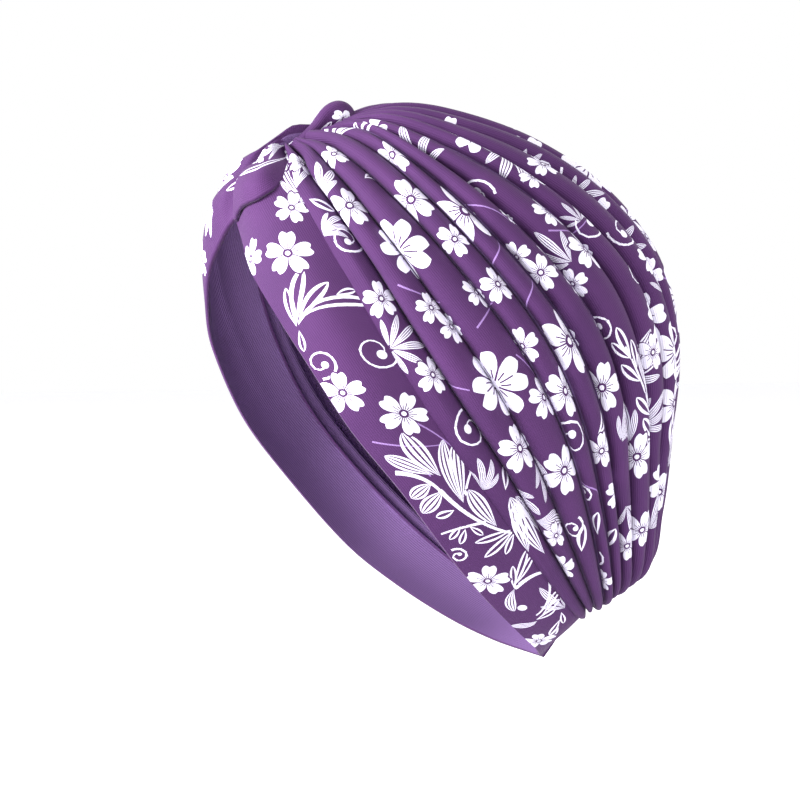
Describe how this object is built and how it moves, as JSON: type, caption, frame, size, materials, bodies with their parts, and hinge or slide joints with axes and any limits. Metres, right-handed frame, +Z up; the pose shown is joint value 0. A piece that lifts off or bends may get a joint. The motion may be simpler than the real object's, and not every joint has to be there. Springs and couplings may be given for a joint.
{
  "type": "pleated turban cap",
  "caption": "Purple floral stretch-jersey turban cap with a pleated crown, two flat front bands and a small knot on top.",
  "frame": {"origin": "middle of the head that the cap is worn on, 110 mm below its top", "axes": "+Z up, the wearer faces -Y, the wearer's left is +X"},
  "size_m": [0.1532, 0.1967, 0.2331],
  "materials": {
    "printed_jersey": "matte"
  },
  "bodies": {
    "root": {"crown": "printed_jersey", "band_left": "printed_jersey", "band_right": "printed_jersey", "front_knot": "printed_jersey"}
  },
  "joints": []
}
